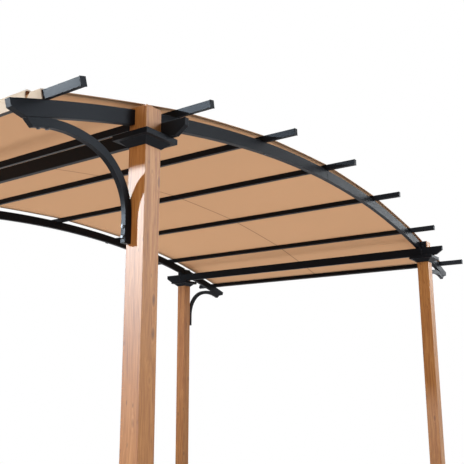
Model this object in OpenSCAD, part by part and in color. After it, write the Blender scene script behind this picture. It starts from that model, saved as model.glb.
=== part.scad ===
// Arched garden pergola: four wood-look posts, black steel roof frame and a stretched fabric canopy.
// Millimetres, Z up, feet on Z = 0, centred on X and Y. Arches span X, beams and purlins run along Y.

/* [Posts] */
// Side of the square post
post_w = 78; // [60:1:120]
// Post spacing along the arches, centre to centre
span_x = 2972; // [2600:1:3400]
// Post spacing along the purlins, centre to centre
span_y = 2216; // [1800:1:2800]
// Height of the post top above the ground
post_h = 2136; // [2000:1:2400]

/* [Feet] */
// Side of the square foot plate
foot_w = 150; // [130:1:220]
// Thickness of the foot plate
foot_t = 6; // [4:1:10]
// Spacing of the anchor holes, centre to centre
foot_pitch = 116; // [100:1:180]
// Diameter of an anchor hole
foot_bore = 12; // [8:1:16]

/* [Collars] */
// Side of the collar's top plate
collar_w = 163; // [140:1:220]
// Thickness of the collar's top plate
collar_t = 20; // [12:1:30]
// Side of the taper where it meets the top plate
taper_w = 130; // [110:1:136]
// Height of the taper below the top plate
taper_h = 22; // [12:1:60]

/* [Main beams] */
// Thickness of a main beam
beam_t = 20; // [15:1:40]
// Height of a main beam
beam_h = 58; // [40:1:60]
// Distance from the beam's top down from the post top
beam_drop = 48; // [44:1:80]
// Overhang of beams and purlins past the post centre
overhang = 150; // [90:1:300]
// Length of the bevel on the beam's nose
nose_l = 44; // [20:1:80]
// Height of the bevel on the beam's nose
nose_h = 30; // [10:1:34]

/* [Arches] */
// Rise of the arch's top from the post tops to the peak
arch_rise = 163; // [100:1:260]
// Thickness of the arch tube
arch_t = 24; // [20:1:36]
// Depth of the arch tube
arch_d = 55; // [45:1:70]
// Overhang of the tail past the post centre
tail_l = 558; // [450:1:700]
// Depth of the square part of the tail's end
tail_end = 27; // [10:1:40]
// Length of the bevel under the tail's end
tail_bevel = 48; // [20:1:80]
// Width of each leaf of the angle plate where an arch meets its post
flange_w = 73; // [40:1:76]
// Thickness of that angle plate
flange_t = 4; // [3:1:8]

/* [Braces] */
// Thickness of the curved brace
brace_t = 20; // [14:1:24]
// Depth of the curved brace
brace_d = 30; // [20:1:40]
// Outer radius of the bend beside the post
brace_r = 244; // [200:1:280]
// Sweep of that bend
brace_a = 74.4; // [70:0.1:80]
// Outer radius of the bend under the tail
brace_r2 = 432; // [380:1:470]
// Straight length of the brace beside the post
brace_l = 88; // [60:1:200]

/* [Purlins] */
// Width of a purlin
purlin_w = 22; // [16:1:40]
// Height of a purlin
purlin_h = 29; // [20:1:40]
// Distance from the post centre in to the nearest inner purlin
purlin_in = 201; // [120:1:300]
// Length of a purlin's end cap past the tube
cap_l = 3; // [2:1:6]
// How far the end cap stands out around the tube
cap_lip = 1; // [0.5:0.5:2]

/* [Canopy] */
// Distance from the post centre in to the canopy's side edge
cloth_in = 18; // [0:1:60]
// Thickness of the canopy
cloth_t = 3; // [2:0.5:5]

/* [Hidden] */
$fn = 96;
half_x = span_x / 2;
half_y = span_y / 2;
half_w = post_w / 2;
face_x = half_x - half_w;
back_x = half_x + half_w;
face_y = half_y - half_w;
beam_z = post_h - beam_drop - beam_h;
rail_l = span_y + 2 * overhang;
arch_z = post_h + arch_rise;
arch_r = (pow(half_x, 2) + pow(arch_rise, 2)) / (2 * arch_rise);
arch_c = arch_z - arch_r;
tail_a = asin((half_x + tail_l) / arch_r);
purlin_a = asin((half_x - purlin_in) / arch_r) / 2;
arch_y = face_y + arch_t / 2;
under_r = arch_r - arch_d;
face_in = asin(face_x / under_r);
face_out = asin(back_x / arch_r);
bevel_a = tail_a - 2 * asin(tail_bevel / under_r / 2);
purlin_r = arch_r + purlin_h;
cloth_y = half_y - cloth_in;
bite = brace_t * 0.03;
bend2_r = brace_r2 - brace_r;
bend_x = back_x + brace_r;
bend2_x = bend_x + bend2_r * cos(brace_a);
bend2_z = arch_c + sqrt(pow(under_r - brace_r2 + bite, 2) - pow(bend2_x, 2));
bend_z = bend2_z + bend2_r * sin(brace_a);
cut_a = 51;
bend_n = 24;
bend_end = 90 + tail_a + 12;
touch_a = asin(bend2_x / (under_r - brace_r2));
end_a = max(bevel_a, touch_a + asin(brace_d / under_r));
cut_l = 4 * brace_d;
slack_a = asin(half_w / arch_r);

// Point of the arch plane at radius r, angle a from the peak and step s along the tangent
function spot(r, a, s = 0) = [r * sin(a) + s * cos(a), arch_c + r * cos(a) - s * sin(a)];

// Places a piece drawn at the right far corner on any corner
module corner(sx, sy) {
    mirror([sx < 0 ? 1 : 0, 0, 0])
        mirror([0, sy < 0 ? 1 : 0, 0])
            children();
}

// Extrudes an outline of the arch plane along Y
module slab(y, t) {
    translate([0, y, 0])
        rotate([90, 0, 0])
            linear_extrude(height = t, center = true)
                children();
}

// Curved bar between two angles, counted from the peak
module band(r0, r1, a0, a1) {
    translate([0, arch_y, arch_c])
        rotate([90, 0, 0])
            rotate([0, 0, 90 - a1])
                rotate_extrude(angle = a1 - a0, $fn = 1440)
                    translate([r0, -arch_t / 2])
                        square([r1 - r0, arch_t]);
}

module post(sx, sy) {
    color("peru")
        corner(sx, sy)
            translate([face_x, face_y, foot_t])
                cube([post_w, post_w, post_h - foot_t]);
}

module foot(sx, sy) {
    color("dimgray")
        corner(sx, sy)
            translate([half_x, half_y, 0])
                difference() {
                    translate([-foot_w / 2, -foot_w / 2, 0])
                        cube([foot_w, foot_w, foot_t]);
                    for (x = [-1, 1], y = [-1, 1])
                        translate([x * foot_pitch / 2, y * foot_pitch / 2, -1])
                            cylinder(h = foot_t + 2, d = foot_bore);
                }
}

module collar(sx, sy) {
    color("dimgray")
        corner(sx, sy)
            translate([half_x, half_y, beam_z - collar_t])
                difference() {
                    union() {
                        translate([-collar_w / 2, -collar_w / 2, 0])
                            cube([collar_w, collar_w, collar_t]);
                        translate([0, 0, -taper_h])
                            rotate([0, 0, 45])
                                cylinder(h = taper_h, d1 = (post_w + 6) * sqrt(2), d2 = taper_w * sqrt(2), $fn = 4);
                    }
                    translate([-half_w, -half_w, -taper_h - 1])
                        cube([post_w, post_w, taper_h + collar_t + 2]);
                }
}

module beam(sx) {
    color("dimgray")
        corner(sx, 1)
            translate([face_x - beam_t, 0, beam_z])
                rotate([90, 0, 90])
                    linear_extrude(height = beam_t)
                        polygon([
                            [-rail_l / 2 + nose_l, 0],
                            [rail_l / 2 - nose_l, 0],
                            [rail_l / 2, nose_h],
                            [rail_l / 2, beam_h],
                            [-rail_l / 2, beam_h],
                            [-rail_l / 2, nose_h]
                        ]);
}

module arch(sx, sy) {
    color("dimgray")
        corner(sx, sy) {
            difference() {
                band(under_r, arch_r, 0, face_in + slack_a);
                translate([face_x - flange_t / 2, face_y - 1, 0])
                    cube([post_w, arch_t + 2, arch_z]);
            }
            translate([face_x - flange_t, face_y - flange_t, beam_z + beam_h])
                difference() {
                    cube([flange_w + flange_t, flange_w + flange_t, beam_drop]);
                    translate([flange_t, flange_t, -1])
                        cube([flange_w + 1, flange_w + 1, beam_drop + 2]);
                }
        }
}

module tail(sx, sy) {
    color("dimgray")
        corner(sx, sy)
            difference() {
                band(under_r, arch_r, face_out - slack_a, tail_a);
                translate([face_x, face_y - 1, 0])
                    cube([post_w, arch_t + 2, arch_z]);
                slab(arch_y, arch_t + 2)
                    polygon([
                        spot(under_r, bevel_a),
                        spot(arch_r - tail_end, tail_a),
                        spot(arch_r - tail_end, tail_a, tail_bevel),
                        spot(under_r - tail_end, tail_a, tail_bevel),
                        spot(under_r - tail_end, bevel_a)
                    ]);
            }
}

// Points of the brace's curve, depth d in from its outer edge
function brace_edge(d) = concat(
    [[back_x + d, bend_z - brace_l]],
    [for (i = [0:bend_n]) bend_spot(bend_x, bend_z, brace_r - d, i / bend_n * brace_a)],
    [for (i = [1:bend_n]) bend_spot(bend2_x, bend2_z, brace_r2 - d, brace_a + i / bend_n * (bend_end - brace_a))]
);
function bend_spot(x, z, r, t) = [x - r * cos(t), z + r * sin(t)];
function backward(p) = [for (i = [len(p) - 1:-1:0]) p[i]];

module brace(sx, sy) {
    color("dimgray")
        corner(sx, sy)
            intersection() {
                difference() {
                    slab(arch_y, brace_t)
                        polygon(concat(brace_edge(0), backward(brace_edge(brace_d))));
                    translate([spot(under_r, end_a)[0], arch_y, spot(under_r, end_a)[1]])
                        rotate([0, cut_a, 0])
                            translate([0, -arch_t, -cut_l])
                                cube([cut_l, 2 * arch_t, 2 * cut_l]);
                }
                translate([0, arch_y, arch_c])
                    rotate([90, 0, 0])
                        cylinder(h = 2 * arch_t, r = under_r, center = true, $fn = 1440);
            }
}

module purlin(k) {
    color("dimgray")
        translate([0, 0, arch_c])
            rotate([0, k * purlin_a, 0]) {
                translate([-purlin_w / 2, -rail_l / 2 + cap_l, arch_r])
                    cube([purlin_w, rail_l - 2 * cap_l, purlin_h]);
                for (y = [-rail_l / 2, rail_l / 2 - cap_l])
                    translate([-purlin_w / 2 - cap_lip, y, arch_r - cap_lip])
                        cube([purlin_w + 2 * cap_lip, cap_l, purlin_h + 2 * cap_lip]);
            }
}

module canopy() {
    side = purlin_w / 2;
    inner = [for (k = [-3:3]) each [spot(purlin_r, k * purlin_a, -side), spot(purlin_r, k * purlin_a, side)]];
    outer = [for (k = [3:-1:-3], s = [1, -1])
        spot(purlin_r + cloth_t, k * purlin_a, s * (side + (k * s == 3 ? cloth_t : 0)))];
    color("tan")
        slab(0, 2 * cloth_y)
            polygon(concat(
                [spot(arch_r, -3 * purlin_a, -side - cloth_t), spot(arch_r, -3 * purlin_a, -side)],
                inner,
                [spot(arch_r, 3 * purlin_a, side), spot(arch_r, 3 * purlin_a, side + cloth_t)],
                outer
            ));
}

post(-1, -1);  // post_nl
post(1, -1);  // post_nr
post(-1, 1);  // post_fl
post(1, 1);  // post_fr
foot(-1, -1);  // foot_nl
foot(1, -1);  // foot_nr
foot(-1, 1);  // foot_fl
foot(1, 1);  // foot_fr
collar(-1, -1);  // collar_nl
collar(1, -1);  // collar_nr
collar(-1, 1);  // collar_fl
collar(1, 1);  // collar_fr
beam(-1);  // beam_left
beam(1);  // beam_right
arch(-1, -1);  // arch_nl
arch(1, -1);  // arch_nr
arch(-1, 1);  // arch_fl
arch(1, 1);  // arch_fr
tail(-1, -1);  // tail_nl
tail(1, -1);  // tail_nr
tail(-1, 1);  // tail_fl
tail(1, 1);  // tail_fr
brace(-1, -1);  // brace_nl
brace(1, -1);  // brace_nr
brace(-1, 1);  // brace_fl
brace(1, 1);  // brace_fr
purlin(-3);  // purlin_1
purlin(-2);  // purlin_2
purlin(-1);  // purlin_3
purlin(0);  // purlin_4
purlin(1);  // purlin_5
purlin(2);  // purlin_6
purlin(3);  // purlin_7
canopy();
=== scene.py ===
"""Arched garden pergola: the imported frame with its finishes, the stretched cloth, stitches and bolts."""
import math
import bpy
from mathutils import Matrix, Vector


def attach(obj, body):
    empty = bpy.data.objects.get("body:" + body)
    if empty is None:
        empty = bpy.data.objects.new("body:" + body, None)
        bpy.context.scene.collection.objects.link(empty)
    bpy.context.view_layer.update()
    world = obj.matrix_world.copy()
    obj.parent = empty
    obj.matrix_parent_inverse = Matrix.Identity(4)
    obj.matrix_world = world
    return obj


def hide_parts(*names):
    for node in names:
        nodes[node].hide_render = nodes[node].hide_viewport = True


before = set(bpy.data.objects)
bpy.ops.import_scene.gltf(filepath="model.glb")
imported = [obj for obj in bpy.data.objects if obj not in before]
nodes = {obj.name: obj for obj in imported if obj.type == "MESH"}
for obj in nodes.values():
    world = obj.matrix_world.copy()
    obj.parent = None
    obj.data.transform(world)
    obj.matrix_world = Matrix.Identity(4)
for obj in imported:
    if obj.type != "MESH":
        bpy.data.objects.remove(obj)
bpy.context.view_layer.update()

# Sizes of the frame, in metres
HALF_X, HALF_Y, HALF_W = 1.486, 1.108, 0.039
POST_H, ARCH_RISE, ARCH_T, ARCH_D = 2.136, 0.163, 0.024, 0.055
ARCH_R = (HALF_X ** 2 + ARCH_RISE ** 2) / (2 * ARCH_RISE)
ARCH_Z = POST_H + ARCH_RISE
ARCH_C = ARCH_Z - ARCH_R
ARCH_Y = HALF_Y - HALF_W + ARCH_T / 2
PURLIN_W, PURLIN_H, PURLIN_IN = 0.022, 0.029, 0.201
PURLIN_A = math.asin((HALF_X - PURLIN_IN) / ARCH_R) / 2
PURLIN_R = ARCH_R + PURLIN_H
CLOTH_Y = 1.090
BEAM_T, BEAM_H, BEAM_Z = 0.020, 0.058, 2.030
BRACE_D, BRACE_R, BRACE_R2, BRACE_BITE = 0.030, 0.244, 0.432, 0.0006
BRACE_A = math.radians(74.4)
PLATE_T = 0.004
CORNERS = ((-1, -1), (1, -1), (-1, 1), (1, 1))


def spot(r, a, s=0.0):
    """Place in the arch plane at radius r and angle a from the peak, moved s along the tangent."""
    return r * math.sin(a) + s * math.cos(a), ARCH_C + r * math.cos(a) - s * math.sin(a)


# Finishes
def new_material(name):
    """Material with an empty node tree, and the tree."""
    material = bpy.data.materials.new(name)
    material.use_nodes = True
    tree = material.node_tree
    tree.nodes.clear()
    return material, tree


def add(tree, kind, x, y, **values):
    """Node at x, y, with its settings and input values by name. An underscore stands for a space."""
    node = tree.nodes.new(kind)
    node.location = (x, y)
    for key, value in values.items():
        if hasattr(node, key):
            setattr(node, key, value)
        else:
            node.inputs[key.replace("_", " ")].default_value = value
    return node


def ramp(tree, x, y, stops):
    """Colour ramp with a list of (place, colour) stops."""
    node = tree.nodes.new("ShaderNodeValToRGB")
    node.location = (x, y)
    elements = node.color_ramp.elements
    while len(elements) < len(stops):
        elements.new(0.5)
    for element, (at, color) in zip(elements, stops):
        element.position = at
        element.color = (*color, 1.0)
    return node


def wood_finish():
    """Satin wood with long fibres, ringed knots and small specks."""
    material, tree = new_material("wood grain")
    link = tree.links.new
    place = add(tree, "ShaderNodeTexCoord", -1800, 0)
    wobble = add(tree, "ShaderNodeTexNoise", -1600, -300, Scale=2.2, Detail=3.0)
    link(place.outputs["Object"], wobble.inputs["Vector"])
    shift = add(tree, "ShaderNodeVectorMath", -1400, 0, operation="MULTIPLY_ADD")
    shift.inputs[1].default_value = (0.05, 0.05, 0.05)
    link(wobble.outputs["Color"], shift.inputs[0])
    link(place.outputs["Object"], shift.inputs[2])
    # Long fibres run up the post
    stretch = add(tree, "ShaderNodeMapping", -1200, 100, Scale=(90.0, 90.0, 2.4))
    link(shift.outputs[0], stretch.inputs["Vector"])
    grain = add(tree, "ShaderNodeTexNoise", -1000, 100, Scale=1.0, Detail=9.0, Roughness=0.62, Distortion=0.6)
    link(stretch.outputs[0], grain.inputs["Vector"])
    fine_map = add(tree, "ShaderNodeMapping", -1200, -200, Scale=(300.0, 300.0, 8.0))
    link(shift.outputs[0], fine_map.inputs["Vector"])
    fine = add(tree, "ShaderNodeTexNoise", -1000, -200, Scale=1.0, Detail=4.0, Roughness=0.6)
    link(fine_map.outputs[0], fine.inputs["Vector"])
    # Knots with rings about them
    knot_map = add(tree, "ShaderNodeMapping", -1200, -500, Scale=(15.0, 15.0, 6.2))
    link(shift.outputs[0], knot_map.inputs["Vector"])
    knots = add(tree, "ShaderNodeTexVoronoi", -1000, -500, Scale=1.0, Randomness=0.9)
    link(knot_map.outputs[0], knots.inputs["Vector"])
    rings = add(tree, "ShaderNodeMath", -800, -600, operation="MULTIPLY")
    rings.inputs[1].default_value = 46.0
    link(knots.outputs["Distance"], rings.inputs[0])
    waves = add(tree, "ShaderNodeMath", -650, -600, operation="SINE")
    link(rings.outputs[0], waves.inputs[0])
    near = add(tree, "ShaderNodeMapRange", -800, -420, From_Min=0.36, From_Max=0.06)
    link(knots.outputs["Distance"], near.inputs["Value"])
    ring_amount = add(tree, "ShaderNodeMath", -500, -520, operation="MULTIPLY")
    link(waves.outputs[0], ring_amount.inputs[0])
    link(near.outputs[0], ring_amount.inputs[1])
    tone = add(tree, "ShaderNodeMath", -500, 50, operation="MULTIPLY_ADD")
    tone.inputs[1].default_value = 0.55
    link(fine.outputs["Fac"], tone.inputs[0])
    link(grain.outputs["Fac"], tone.inputs[2])
    ringed = add(tree, "ShaderNodeMath", -350, 0, operation="MULTIPLY_ADD")
    ringed.inputs[1].default_value = 0.07
    link(ring_amount.outputs[0], ringed.inputs[0])
    link(tone.outputs[0], ringed.inputs[2])
    colors = ramp(tree, -180, 100, [(0.48, (0.185, 0.060, 0.012)), (0.66, (0.320, 0.119, 0.027)),
                                    (0.84, (0.43, 0.182, 0.048)), (1.02, (0.52, 0.256, 0.082))])
    link(ringed.outputs[0], colors.inputs["Fac"])
    heart = add(tree, "ShaderNodeMapRange", -350, -350, From_Min=0.15, From_Max=0.03, To_Max=0.85)
    link(knots.outputs["Distance"], heart.inputs["Value"])
    # Small dark specks in some of the cells of a finer pattern
    speck_map = add(tree, "ShaderNodeMapping", -1200, -800, Scale=(62.0, 62.0, 20.0))
    link(shift.outputs[0], speck_map.inputs["Vector"])
    specks = add(tree, "ShaderNodeTexVoronoi", -1000, -800, Scale=1.0, Randomness=1.0)
    link(speck_map.outputs[0], specks.inputs["Vector"])
    speck = add(tree, "ShaderNodeMapRange", -800, -800, From_Min=0.24, From_Max=0.06)
    link(specks.outputs["Distance"], speck.inputs["Value"])
    chance = add(tree, "ShaderNodeSeparateColor", -800, -1000)
    link(specks.outputs["Color"], chance.inputs["Color"])
    chosen = add(tree, "ShaderNodeMapRange", -600, -1000, From_Min=0.78, From_Max=1.0)
    link(chance.outputs["Red"], chosen.inputs["Value"])
    specked = add(tree, "ShaderNodeMath", -400, -900, operation="MULTIPLY")
    link(speck.outputs[0], specked.inputs[0])
    link(chosen.outputs[0], specked.inputs[1])
    marks = add(tree, "ShaderNodeMath", -150, -500, operation="MAXIMUM")
    link(heart.outputs[0], marks.inputs[0])
    link(specked.outputs[0], marks.inputs[1])
    dark = add(tree, "ShaderNodeMix", 100, 50, data_type="RGBA", B=(0.10, 0.035, 0.012, 1.0))
    link(marks.outputs[0], dark.inputs["Factor"])
    link(colors.outputs["Color"], dark.inputs["A"])
    bump = add(tree, "ShaderNodeBump", 100, -250, Strength=0.25, Distance=0.0012)
    link(tone.outputs[0], bump.inputs["Height"])
    soft = add(tree, "ShaderNodeBevel", -100, -400, samples=4, Radius=0.003)
    link(soft.outputs[0], bump.inputs["Normal"])
    body = add(tree, "ShaderNodeBsdfPrincipled", 350, 0, Roughness=0.5, Specular_IOR_Level=0.2,
               Coat_Weight=0.85, Coat_Roughness=0.56)
    link(dark.outputs["Result"], body.inputs["Base Color"])
    link(bump.outputs[0], body.inputs["Normal"])
    out = add(tree, "ShaderNodeOutputMaterial", 650, 0)
    link(body.outputs[0], out.inputs["Surface"])
    return material


def steel_finish(name, color, roughness, gloss, wear=False):
    """Satin paint on steel, with paler edges where it is worn."""
    material, tree = new_material(name)
    link = tree.links.new
    place = add(tree, "ShaderNodeTexCoord", -1000, 0)
    peel = add(tree, "ShaderNodeTexNoise", -800, -200, Scale=700.0, Detail=3.0)
    link(place.outputs["Object"], peel.inputs["Vector"])
    patches = add(tree, "ShaderNodeTexNoise", -800, 100, Scale=5.0, Detail=5.0)
    link(place.outputs["Object"], patches.inputs["Vector"])
    shine = add(tree, "ShaderNodeMapRange", -550, 100, To_Min=roughness - 0.07, To_Max=roughness + 0.09)
    link(patches.outputs["Fac"], shine.inputs["Value"])
    soft = add(tree, "ShaderNodeBevel", -600, -400, samples=4, Radius=0.0025)
    bump = add(tree, "ShaderNodeBump", -350, -200, Strength=0.12, Distance=0.0004)
    link(peel.outputs["Fac"], bump.inputs["Height"])
    link(soft.outputs[0], bump.inputs["Normal"])
    body = add(tree, "ShaderNodeBsdfPrincipled", 100, 0, Base_Color=(*color, 1.0),
               Specular_IOR_Level=gloss, Specular_Tint=(0.72, 0.84, 1.0, 1.0))
    if wear:
        # Rubbed edges show a little paler
        shape = add(tree, "ShaderNodeNewGeometry", -800, 400)
        lean = add(tree, "ShaderNodeVectorMath", -550, 400, operation="DOT_PRODUCT")
        link(shape.outputs["Normal"], lean.inputs[0])
        link(soft.outputs[0], lean.inputs[1])
        edge = add(tree, "ShaderNodeMapRange", -350, 400, From_Min=0.995, From_Max=0.86, To_Max=0.2)
        link(lean.outputs["Value"], edge.inputs["Value"])
        paler = add(tree, "ShaderNodeMix", -120, 250, data_type="RGBA", A=(*color, 1.0),
                    B=(0.12, 0.122, 0.128, 1.0))
        link(edge.outputs[0], paler.inputs["Factor"])
        link(paler.outputs["Result"], body.inputs["Base Color"])
    link(shine.outputs[0], body.inputs["Roughness"])
    link(bump.outputs[0], body.inputs["Normal"])
    out = add(tree, "ShaderNodeOutputMaterial", 400, 0)
    link(body.outputs[0], out.inputs["Surface"])
    return material


def cloth_finish(name, color, through, sewn=False):
    """Woven cloth that lets a share of the light through, with or without the sewn middle line."""
    material, tree = new_material(name)
    link = tree.links.new
    place = add(tree, "ShaderNodeTexCoord", -1200, 0)
    heights = []
    for turn, y in ((0.0, 0), (math.pi / 2, -250)):
        lay = add(tree, "ShaderNodeMapping", -1000, y, Rotation=(0.0, 0.0, turn))
        link(place.outputs["UV"], lay.inputs["Vector"])
        thread = add(tree, "ShaderNodeTexWave", -800, y, Scale=130.0, Distortion=0.4)
        link(lay.outputs[0], thread.inputs["Vector"])
        heights.append(thread)
    weave = add(tree, "ShaderNodeMath", -550, -100, operation="MAXIMUM")
    link(heights[0].outputs["Fac"], weave.inputs[0])
    link(heights[1].outputs["Fac"], weave.inputs[1])
    clouds = add(tree, "ShaderNodeTexNoise", -800, 300, Scale=1.6, Detail=4.0)
    link(place.outputs["UV"], clouds.inputs["Vector"])
    amount = add(tree, "ShaderNodeMapRange", -550, 300, To_Min=0.0, To_Max=0.22)
    link(clouds.outputs["Fac"], amount.inputs["Value"])
    tint = add(tree, "ShaderNodeMix", -300, 250, data_type="RGBA", A=(*color, 1.0),
               B=(color[0] * 0.82, color[1] * 0.76, color[2] * 0.70, 1.0))
    link(amount.outputs[0], tint.inputs["Factor"])
    shade = tint.outputs["Result"]
    if sewn:
        # A fine sewn line runs along the middle
        split = add(tree, "ShaderNodeSeparateXYZ", -800, 550)
        link(place.outputs["UV"], split.inputs[0])
        aside = add(tree, "ShaderNodeMath", -600, 550, operation="ABSOLUTE")
        link(split.outputs["Y"], aside.inputs[0])
        line = add(tree, "ShaderNodeMapRange", -400, 550, From_Min=0.0045, From_Max=0.0025, To_Max=0.85)
        link(aside.outputs[0], line.inputs["Value"])
        marked = add(tree, "ShaderNodeMix", -150, 450, data_type="RGBA",
                     B=(color[0] * 0.42, color[1] * 0.36, color[2] * 0.32, 1.0))
        link(line.outputs[0], marked.inputs["Factor"])
        link(shade, marked.inputs["A"])
        shade = marked.outputs["Result"]
    # Slack in the cloth shows as faint ripples
    ripple = add(tree, "ShaderNodeTexNoise", -800, -500, Scale=3.2, Detail=2.0, Distortion=0.8)
    link(place.outputs["UV"], ripple.inputs["Vector"])
    slack = add(tree, "ShaderNodeBump", -500, -450, Strength=0.22, Distance=0.02)
    link(ripple.outputs["Fac"], slack.inputs["Height"])
    bump = add(tree, "ShaderNodeBump", -300, -150, Strength=0.35, Distance=0.0006)
    link(weave.outputs[0], bump.inputs["Height"])
    link(slack.outputs[0], bump.inputs["Normal"])
    face = add(tree, "ShaderNodeBsdfDiffuse", 0, 150)
    glow = add(tree, "ShaderNodeBsdfTranslucent", 0, -50)
    for shader in (face, glow):
        link(shade, shader.inputs["Color"])
        link(bump.outputs[0], shader.inputs["Normal"])
    both = add(tree, "ShaderNodeMixShader", 250, 50, Fac=through)
    link(face.outputs[0], both.inputs[1])
    link(glow.outputs[0], both.inputs[2])
    out = add(tree, "ShaderNodeOutputMaterial", 500, 0)
    link(both.outputs[0], out.inputs["Surface"])
    return material


WOOD = wood_finish()
STEEL = steel_finish("black powder coat", (0.0070, 0.0075, 0.0092), 0.42, 0.078, wear=True)
BOLT = steel_finish("black zinc bolts", (0.045, 0.046, 0.050), 0.40, 0.35)
SEAM = steel_finish("joint line", (0.004, 0.004, 0.005), 0.7, 0.1)
CLOTH = cloth_finish("tan cloth", (0.588, 0.384, 0.233), 0.35, sewn=True)
# Side hems: a real doubled strip of the cloth, painted a little darker as painted shade for the light the
# second layer holds back
SHADED_HEM = cloth_finish("doubled tan cloth with painted shade", (0.53, 0.315, 0.19), 0.26)
SEWN = cloth_finish("sewn tan cloth", (0.40, 0.23, 0.135), 0.2)
# Tan cloth painted near white: painted light, a lit copy of the cloth for the end hems
PAINTED_LIT_HEM = cloth_finish("end hem cloth painted lit", (0.77, 0.72, 0.65), 0.25)
# Near-black brown cloth: painted shade, a dark sheet set where the inside of a sleeve is only in shade
MOUTH_SHADE = cloth_finish("painted shade in sleeve mouth", (0.15, 0.065, 0.032), 0.05)
THREAD = cloth_finish("tan thread", (0.42, 0.24, 0.13), 0.1)

for name, node in nodes.items():
    finish = WOOD if name.startswith("post") else CLOTH if name == "canopy" else STEEL
    for place in node.material_slots:
        place.material = finish


# Sizes of the cloth, in metres: thicknesses end in T, widths in W, heights above the cloth in LIFT
CLOTH_T, CLOTH_GAP, BULGE = 0.0012, 0.0008, 0.003
TURN_LOW, TURN_H = 0.002, 0.027
HEM_T, HEM_W, HEM_LIFT, SEAM_W = 0.0010, 0.030, 0.0011, 0.010
SLEEVE_T, SLEEVE_LIFT, PUFF = 0.0038, 0.0026, 0.019
# Size and place of the dark sheet of painted shade in each sleeve mouth
MOUTH_SHADE_T, MOUTH_SHADE_IN, MOUTH_SHADE_INSET, MOUTH_SHADE_FOOT = 0.0006, 0.003, 0.0024, 0.0022
# The notch's outer edge slants in towards the sleeve on the purlin's side
NOTCH_IN, NOTCH_OUT, NOTCH_SLANT = 1.016, 1.047, 0.029
NOTCH_EDGES = [NOTCH_OUT - NOTCH_SLANT * share for share in (1.0, 1.0, 1.0, 0.65, 0.2, 0.0, 0.0)]
# Steps across the cloth, across a sleeve, along a panel and over a purlin's top
CLOTH_STEPS, SLEEVE_STEPS, PANEL_STEPS, TOP_STEPS = 64, 8, 14, 3
# Points up an end purlin's side, and points that an end hem lies on
SIDE_POINTS = 4
END_POINTS = SIDE_POINTS + TOP_STEPS


def settled(piece):
    """Keeps the finished mesh of a piece and drops its modifiers."""
    graph = bpy.context.evaluated_depsgraph_get()
    mesh = bpy.data.meshes.new_from_object(piece.evaluated_get(graph))
    piece.modifiers.clear()
    piece.data = mesh
    return piece


def mesh_piece(name, verts, faces, material):
    """Object with a plain mesh and one material."""
    mesh = bpy.data.meshes.new(name)
    mesh.from_pydata(verts, [], faces)
    mesh.materials.append(material)
    piece = bpy.data.objects.new(name, mesh)
    bpy.context.collection.objects.link(piece)
    return piece


def thick_piece(name, verts, faces, uvs, thickness, material):
    """Piece of cloth with a UV place for each corner of its faces, and a real thickness."""
    piece = mesh_piece(name, verts, faces, material)
    layer = piece.data.uv_layers.new(name="UVMap")
    for loop, uv in zip(layer.data, uvs):
        loop.uv = uv
    solid = piece.modifiers.new("thickness", "SOLIDIFY")
    solid.thickness = thickness
    solid.offset = 0.0
    return settled(piece)


def sheet_piece(name, path, ys, thickness, material):
    """Sheet swept along a path of (x, z) places for each y, with lengths as its UV.

    ys is one row for the whole path, or a row for each of its places.
    """
    verts, faces, uvs = [], [], []
    run = [0.0]
    for (x0, z0), (x1, z1) in zip(path, path[1:]):
        run.append(run[-1] + math.hypot(x1 - x0, z1 - z0))
    rows = ys if isinstance(ys[0], list) else [ys] * len(path)
    for (x, z), row in zip(path, rows):
        verts += [(x, y, z) for y in row]
    across = len(rows[0])
    for i in range(len(path) - 1):
        for j in range(across - 1):
            a = i * across + j
            faces.append((a, a + across, a + across + 1, a + 1))
            uvs += [(run[i], rows[i][j]), (run[i + 1], rows[i + 1][j]),
                    (run[i + 1], rows[i + 1][j + 1]), (run[i], rows[i][j + 1])]
    return thick_piece(name, verts, faces, uvs, thickness, material)


def mouth_shade_piece(name, outline, y, thickness, material):
    """Flat dark sheet that closes the mouth of a sleeve at y: painted shade for the shaded inside of the
    sleeve.
    """
    verts = [(x, y, z) for x, z in outline]
    return thick_piece(name, verts, [tuple(range(len(verts)))], outline, thickness, material)


def spaced(low, high, steps):
    """Even row of values from low to high."""
    return [low + (high - low) * i / steps for i in range(steps + 1)]


def cloth_path(lift=0.0):
    """Path over all the purlins, lift above their tops, turned down at both ends.

    It bulges up a little in every panel.
    """
    side = PURLIN_W / 2
    out = side + CLOTH_GAP + lift
    top = PURLIN_R + CLOTH_GAP + lift
    heights = [ARCH_R + TURN_LOW + TURN_H * i / SIDE_POINTS for i in range(SIDE_POINTS)]
    path = [spot(r, -3 * PURLIN_A, -out) for r in heights]
    for k in range(-3, 4):
        low, high = (-out if k == -3 else -side), (out if k == 3 else side)
        path += [spot(top, k * PURLIN_A, s) for s in spaced(low, high, TOP_STEPS)]
        if k < 3:
            x0, z0 = spot(top, k * PURLIN_A, side)
            x1, z1 = spot(top, (k + 1) * PURLIN_A, -side)
            for i in range(1, PANEL_STEPS):
                u = i / PANEL_STEPS
                path.append((x0 + (x1 - x0) * u, z0 + (z1 - z0) * u + BULGE * 4 * u * (1 - u)))
    path += [spot(r, 3 * PURLIN_A, out) for r in reversed(heights)]
    return path


def sleeve_top(end, inset=0.0):
    """Path over an end purlin's loose sleeve, from its outer side to where it lands on the cloth."""
    out, top = PURLIN_W / 2 + CLOTH_GAP + SLEEVE_LIFT - inset, PUFF - inset
    dome = ((-1.0, 0.0), (-0.95, 0.5), (-0.70, 0.86), (-0.25, 1.0),
            (0.35, 0.95), (1.0, 0.72), (1.7, 0.44), (2.4, 0.22))
    return [spot(PURLIN_R + top * up, end * 3 * PURLIN_A, -end * out * aside) for aside, up in dome]


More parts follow.
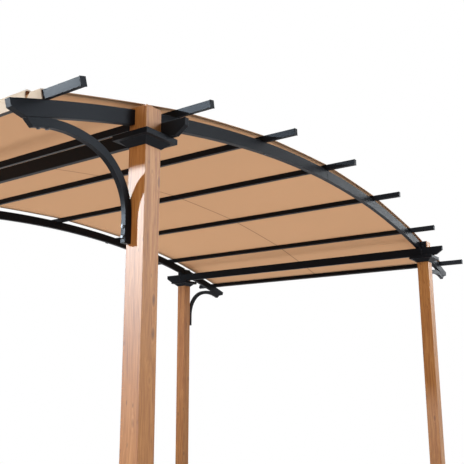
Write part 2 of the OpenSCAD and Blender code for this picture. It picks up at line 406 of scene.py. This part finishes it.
cloth = sheet_piece("cloth", cloth_path(), spaced(-CLOTH_Y, CLOTH_Y, CLOTH_STEPS), CLOTH_T, CLOTH)
hems = []
hem_path = cloth_path(HEM_LIFT)
for sign, side_name in ((-1, "near"), (1, "far")):
    rows = spaced(*sorted((sign * CLOTH_Y, sign * (CLOTH_Y - HEM_W))), 2)
    hems.append(sheet_piece("side_hem_" + side_name, hem_path[END_POINTS:-END_POINTS], rows, HEM_T, SHADED_HEM))
# End hems, painted pale as if brightly lit, lie round the outer purlins, with a loose sleeve between two
# notches beside the arches
for end, end_name in ((-1, "left"), (1, "right")):
    wrap = cloth_path(SLEEVE_LIFT)[::-end][:END_POINTS]
    sleeve = wrap[:SIDE_POINTS] + sleeve_top(end)
    rows = spaced(-NOTCH_IN, NOTCH_IN, SLEEVE_STEPS)
    hems.append(sheet_piece("end_hem_%s_middle" % end_name, sleeve, rows, SLEEVE_T, PAINTED_LIT_HEM))
    inside = sleeve_top(end, MOUTH_SHADE_INSET)[:-1]
    inside[0] = (inside[0][0], inside[0][1] + MOUTH_SHADE_FOOT)
    for sign, side_name in ((-1, "near"), (1, "far")):
        rows = [spaced(sign * CLOTH_Y, sign * edge, SLEEVE_STEPS) for edge in NOTCH_EDGES]
        hems.append(sheet_piece("end_hem_%s_%s" % (end_name, side_name), wrap, rows, SLEEVE_T, PAINTED_LIT_HEM))
        # Dark sheet of painted shade across the sleeve mouth, beside each notch
        hems.append(mouth_shade_piece("end_mouth_shade_%s_%s" % (end_name, side_name), inside,
                                sign * (NOTCH_IN - MOUTH_SHADE_IN), MOUTH_SHADE_T, MOUTH_SHADE))
hems.append(sheet_piece("middle_seam", hem_path, spaced(-SEAM_W / 2, SEAM_W / 2, 2), HEM_T, SEWN))


# Repeated small pieces, set out by Geometry Nodes
def spread_tree(name, build):
    """Tree that sets a small shape on every vertex, turned so that its axis follows the vertex's aim."""
    tree = bpy.data.node_groups.new(name, "GeometryNodeTree")
    face = tree.interface
    face.new_socket("Geometry", in_out="INPUT", socket_type="NodeSocketGeometry")
    for label, value in (("Radius", 0.007), ("Height", 0.005), ("Washer", 0.010)):
        socket = face.new_socket(label, in_out="INPUT", socket_type="NodeSocketFloat")
        socket.default_value = value
    face.new_socket("Material", in_out="INPUT", socket_type="NodeSocketMaterial")
    face.new_socket("Geometry", in_out="OUTPUT", socket_type="NodeSocketGeometry")
    link = tree.links.new
    group_in = tree.nodes.new("NodeGroupInput")
    shape = build(tree, group_in)
    aim = tree.nodes.new("GeometryNodeInputNamedAttribute")
    aim.data_type = "FLOAT_VECTOR"
    aim.inputs["Name"].default_value = "aim"
    turn = tree.nodes.new("FunctionNodeAlignRotationToVector")
    turn.axis = "Z"
    link(aim.outputs["Attribute"], turn.inputs["Vector"])
    points = tree.nodes.new("GeometryNodeMeshToPoints")
    link(group_in.outputs["Geometry"], points.inputs["Mesh"])
    copies = tree.nodes.new("GeometryNodeInstanceOnPoints")
    link(points.outputs[0], copies.inputs["Points"])
    link(shape, copies.inputs["Instance"])
    link(turn.outputs[0], copies.inputs["Rotation"])
    real = tree.nodes.new("GeometryNodeRealizeInstances")
    link(copies.outputs[0], real.inputs[0])
    paint = tree.nodes.new("GeometryNodeSetMaterial")
    link(real.outputs[0], paint.inputs["Geometry"])
    link(group_in.outputs["Material"], paint.inputs["Material"])
    group_out = tree.nodes.new("NodeGroupOutput")
    link(paint.outputs[0], group_out.inputs[0])
    return tree


def bolt_shape(tree, group_in):
    """Hexagon head on a round washer, its foot at the point."""
    link = tree.links.new
    parts = []
    for sides, radius, share in ((6, "Radius", 1.0), (20, "Washer", 0.32)):
        tall = tree.nodes.new("ShaderNodeMath")
        tall.operation = "MULTIPLY"
        tall.inputs[1].default_value = share
        link(group_in.outputs["Height"], tall.inputs[0])
        rod = tree.nodes.new("GeometryNodeMeshCylinder")
        rod.inputs["Vertices"].default_value = sides
        link(group_in.outputs[radius], rod.inputs["Radius"])
        link(tall.outputs[0], rod.inputs["Depth"])
        half = tree.nodes.new("ShaderNodeMath")
        half.operation = "MULTIPLY"
        half.inputs[1].default_value = 0.5
        link(tall.outputs[0], half.inputs[0])
        up = tree.nodes.new("ShaderNodeCombineXYZ")
        link(half.outputs[0], up.inputs["Z"])
        move = tree.nodes.new("GeometryNodeTransform")
        link(rod.outputs["Mesh"], move.inputs["Geometry"])
        link(up.outputs[0], move.inputs["Translation"])
        parts.append(move)
    join = tree.nodes.new("GeometryNodeJoinGeometry")
    for part in parts:
        link(part.outputs[0], join.inputs[0])
    return join.outputs[0]


def stitch_shape(tree, group_in):
    """Short round stitch that lies along the aim."""
    rod = tree.nodes.new("GeometryNodeMeshCylinder")
    rod.inputs["Vertices"].default_value = 6
    tree.links.new(group_in.outputs["Radius"], rod.inputs["Radius"])
    tree.links.new(group_in.outputs["Height"], rod.inputs["Depth"])
    return rod.outputs["Mesh"]


BOLTS = spread_tree("bolt heads", bolt_shape)
STITCHES = spread_tree("stitches", stitch_shape)


def spread(name, tree, spots, material, radius, height, washer=0.0):
    """Piece with one small shape on each of the (place, aim) spots."""
    mesh = bpy.data.meshes.new(name)
    mesh.from_pydata([place for place, aim in spots], [], [])
    layer = mesh.attributes.new("aim", "FLOAT_VECTOR", "POINT")
    for item, (place, aim) in zip(layer.data, spots):
        item.vector = aim
    piece = bpy.data.objects.new(name, mesh)
    bpy.context.collection.objects.link(piece)
    modifier = piece.modifiers.new("spread", "NODES")
    modifier.node_group = tree
    values = {"Radius": radius, "Height": height, "Washer": washer, "Material": material}
    for item in tree.interface.items_tree:
        if item.in_out == "INPUT" and item.name in values:
            modifier[item.identifier] = values[item.name]
    return settled(piece)


# Places of the bolts, in degrees round the brace's second bend and in metres
BRACE_BOLT_TURNS, BRACE_BOLT_Z = (101.0, 105.8), (1.661, 1.698)
BEAM_BOLT_Z, PLATE_BOLT_Z, PLATE_BOLT_Y = (0.018, 0.041), (0.012, 0.036), 0.008
bend2_x = HALF_X + HALF_W + BRACE_R + (BRACE_R2 - BRACE_R) * math.cos(BRACE_A)
bend2_z = ARCH_C + math.sqrt((ARCH_R - ARCH_D - BRACE_R2 + BRACE_BITE) ** 2 - bend2_x ** 2)
inner_r = BRACE_R2 - BRACE_D
brace_bolts, frame_bolts, roof_screws = [], [], []
for sx, sy in CORNERS:
    outwards, inwards = (sx, 0.0, 0.0), (-sx, 0.0, 0.0)
    for turn in BRACE_BOLT_TURNS:
        across, rise = math.cos(math.radians(turn)), math.sin(math.radians(turn))
        place = (sx * (bend2_x - inner_r * across), sy * ARCH_Y, bend2_z + inner_r * rise)
        brace_bolts.append((place, (sx * across, 0.0, -rise)))
    for z in BRACE_BOLT_Z:
        brace_bolts.append(((sx * (HALF_X + HALF_W + BRACE_D), sy * ARCH_Y, z), outwards))
    for z in BEAM_BOLT_Z:
        frame_bolts.append(((sx * (HALF_X - HALF_W - BEAM_T), sy * HALF_Y, BEAM_Z + z), inwards))
    for z in PLATE_BOLT_Z:
        place = (sx * (HALF_X - HALF_W - PLATE_T), sy * (HALF_Y + PLATE_BOLT_Y), BEAM_Z + BEAM_H + z)
        frame_bolts.append((place, inwards))
for k in (-3, -2, -1, 1, 2, 3):
    x, z = spot(ARCH_R - ARCH_D, k * PURLIN_A)
    for sy in (-1, 1):
        roof_screws.append(((x, sy * ARCH_Y, z), (-math.sin(k * PURLIN_A), 0.0, -math.cos(k * PURLIN_A))))
bolts = [spread("brace_bolts", BOLTS, brace_bolts, BOLT, radius=0.0062, height=0.0055, washer=0.0080),
         spread("frame_bolts", BOLTS, frame_bolts, STEEL, radius=0.0065, height=0.005, washer=0.0095),
         spread("roof_screws", BOLTS, roof_screws, BOLT, radius=0.0050, height=0.004, washer=0.0075)]

# Two rows of stitches along the middle and one along each side hem
STITCH_STEP, STITCH_L, STITCH_R, STITCH_LIFT = 0.012, 0.008, 0.0005, 0.0016
HEM_STITCH_IN, SEAM_STITCH_OFF = 0.026, 0.003
STITCH_ROWS = (-CLOTH_Y + HEM_STITCH_IN, -SEAM_STITCH_OFF, SEAM_STITCH_OFF, CLOTH_Y - HEM_STITCH_IN)
stitch_path = cloth_path(STITCH_LIFT)[SIDE_POINTS:1 - SIDE_POINTS]
stitch_spots = []
wait = 0.0
for (x0, z0), (x1, z1) in zip(stitch_path, stitch_path[1:]):
    long = math.hypot(x1 - x0, z1 - z0)
    aim = ((x1 - x0) / long, 0.0, (z1 - z0) / long)
    while wait < long:
        u = wait / long
        for y in STITCH_ROWS:
            stitch_spots.append(((x0 + (x1 - x0) * u, y, z0 + (z1 - z0) * u), aim))
        wait += STITCH_STEP
    wait -= long
stitches = spread("stitches", STITCHES, stitch_spots, THREAD, radius=STITCH_R, height=STITCH_L)


def box_piece(name, low, high, material):
    """Box between two corners."""
    (a, b, c), (d, e, f) = low, high
    verts = [(a, b, c), (d, b, c), (d, e, c), (a, e, c), (a, b, f), (d, b, f), (d, e, f), (a, e, f)]
    faces = [(0, 3, 2, 1), (4, 5, 6, 7), (0, 1, 5, 4), (1, 2, 6, 5), (2, 3, 7, 6), (3, 0, 4, 7)]
    return mesh_piece(name, verts, faces, material)


# The halves of each arch meet in a fine line under the top purlin
JOINT_W, JOINT_PROUD, JOINT_BELOW = 0.005, 0.0003, 0.0005
half_t = ARCH_T / 2 + JOINT_PROUD
joints = []
for sy, side_name in ((-1, "near"), (1, "far")):
    low = (-JOINT_W / 2, sy * ARCH_Y - half_t, ARCH_Z - ARCH_D - JOINT_PROUD)
    high = (JOINT_W / 2, sy * ARCH_Y + half_t, ARCH_Z - JOINT_BELOW)
    joints.append(box_piece("arch_joint_" + side_name, low, high, SEAM))

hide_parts("canopy")
for piece in [cloth, stitches] + hems + bolts + joints:
    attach(piece, "root")
flat_path = cloth_path()


# Floor, light and camera
def shown_ray(tree, x, y):
    """One for rays that show the backdrop: straight from the camera, mirrored or through."""
    ray = add(tree, "ShaderNodeLightPath", x, y)
    shown = ray.outputs["Is Camera Ray"]
    for step, kind in enumerate(("Is Glossy Ray", "Is Transmission Ray")):
        either = add(tree, "ShaderNodeMath", x + 200 + 200 * step, y, operation="MAXIMUM")
        tree.links.new(shown, either.inputs[0])
        tree.links.new(ray.outputs[kind], either.inputs[1])
        shown = either.outputs[0]
    return shown


def floor_finish():
    """Pale floor that keeps the shadow near the feet and fades into the white backdrop."""
    material, tree = new_material("pale floor")
    link = tree.links.new
    shown = shown_ray(tree, -1300, 500)
    tone = add(tree, "ShaderNodeMix", -300, 0, data_type="RGBA",
               A=(0.10, 0.10, 0.105, 1.0), B=(0.92, 0.92, 0.92, 1.0))
    link(shown, tone.inputs["Factor"])
    body = add(tree, "ShaderNodeBsdfDiffuse", 0, 0)
    link(tone.outputs["Result"], body.inputs["Color"])
    white = add(tree, "ShaderNodeEmission", 0, 250)
    place = add(tree, "ShaderNodeTexCoord", -900, 200)
    far = add(tree, "ShaderNodeVectorMath", -700, 200, operation="LENGTH")
    link(place.outputs["Object"], far.inputs[0])
    fade = add(tree, "ShaderNodeMapRange", -500, 200, interpolation_type="SMOOTHSTEP",
               From_Min=2.2, From_Max=5.2)
    link(far.outputs["Value"], fade.inputs["Value"])
    seen = add(tree, "ShaderNodeMath", -250, 300, operation="MULTIPLY")
    link(fade.outputs[0], seen.inputs[0])
    link(shown, seen.inputs[1])
    both = add(tree, "ShaderNodeMixShader", 300, 100)
    link(seen.outputs[0], both.inputs["Fac"])
    link(body.outputs[0], both.inputs[1])
    link(white.outputs[0], both.inputs[2])
    out = add(tree, "ShaderNodeOutputMaterial", 550, 0)
    link(both.outputs[0], out.inputs["Surface"])
    return material


bpy.ops.mesh.primitive_plane_add(size=120.0, location=(0.0, 0.0, 0.0))
floor = bpy.context.object
floor.name = "floor"
floor.data.materials.append(floor_finish())


def lamp(name, place, target, width, watts, color=(1.0, 1.0, 1.0), beam=180.0, sheen=True, body=True):
    """Soft square lamp at place, aimed at target, that lights gloss (sheen), matt surfaces (body) or both."""
    data = bpy.data.lights.new(name, "AREA")
    data.shape = "SQUARE"
    data.size = width
    data.energy = watts
    data.color = color
    data.spread = math.radians(beam)
    light = bpy.data.objects.new(name, data)
    light.location = place
    light.rotation_euler = (Vector(target) - Vector(place)).to_track_quat("-Z", "Y").to_euler()
    light.visible_glossy = sheen
    light.visible_diffuse = body
    light.visible_camera = False
    bpy.context.collection.objects.link(light)


NEAR_POST = (-1.6, -1.1, 1.9)
lamp("key", (-4.525, 1.75, 2.77), NEAR_POST, 0.14, 29.0, (1.0, 0.98, 0.95), beam=100.0, sheen=False)
lamp("key sheen", (-4.497, 1.723, 2.762), NEAR_POST, 0.14, 122.0, (0.87, 0.95, 1.0), beam=100.0, body=False)
lamp("top", (0.0, 0.5, 7.5), (0.0, 0.0, 2.0), 5.0, 520.0)
lamp("front", (0.4, -4.2, 2.9), (-0.2, -1.1, 2.0), 1.6, 98.0, (0.94, 0.975, 1.0))
lamp("side", (7.0, -3.6, 3.6), (0.3, -1.3, 2.1), 2.0, 9.5, (0.90, 0.96, 1.0), beam=55.0)
lamp("warm", (-5.5, -2.0, 1.6), (-1.0, -0.5, 1.9), 2.0, 80.0, (1.0, 0.80, 0.60), sheen=False)
lamp("under", (-0.3, 0.0, 0.05), (-0.3, 0.0, 2.0), 6.5, 139.0, beam=94.0, sheen=False)
lamp("back", (-1.2, 2.4, 1.4), (1.45, 1.1, 1.5), 0.6, 2.4, (1.0, 0.95, 0.90), beam=60.0, sheen=False)

world = bpy.data.worlds.new("studio")
bpy.context.scene.world = world
world.use_nodes = True
tree = world.node_tree
tree.nodes.clear()
seen = add(tree, "ShaderNodeBackground", 0, 100, Color=(1.0, 1.0, 1.0, 1.0), Strength=1.0)
fill = add(tree, "ShaderNodeBackground", 0, -100, Color=(0.97, 0.98, 1.0, 1.0), Strength=0.15)
pick = add(tree, "ShaderNodeMixShader", 250, 0)
tree.links.new(shown_ray(tree, -600, 300), pick.inputs["Fac"])
tree.links.new(fill.outputs[0], pick.inputs[1])
tree.links.new(seen.outputs[0], pick.inputs[2])
surface = add(tree, "ShaderNodeOutputWorld", 500, 0)
tree.links.new(pick.outputs[0], surface.inputs["Surface"])

# Viewing angle of the photograph
EYE = Vector((-3.1230, -2.6171, 1.2049))
YAW, PITCH, ROLL = 0.9649, 0.2147, -0.0030
FOCUS_PX, PICTURE_PX, SENSOR = 654.0, 464.0, 36.0
ahead = Vector((math.sin(YAW) * math.cos(PITCH), math.cos(YAW) * math.cos(PITCH), math.sin(PITCH)))
right = Vector((math.cos(YAW), -math.sin(YAW), 0.0))
up = right.cross(ahead)
right, up = math.cos(ROLL) * right + math.sin(ROLL) * up, math.cos(ROLL) * up - math.sin(ROLL) * right
lens = bpy.data.cameras.new("camera")
lens.sensor_width = SENSOR
lens.lens = FOCUS_PX / PICTURE_PX * SENSOR
lens.clip_end = 300.0
camera = bpy.data.objects.new("camera", lens)
turned = Matrix((right, up, -ahead)).transposed().to_4x4()
camera.matrix_world = Matrix.Translation(EYE) @ turned
bpy.context.collection.objects.link(camera)
bpy.context.scene.camera = camera
bpy.context.scene.view_settings.view_transform = "Standard"
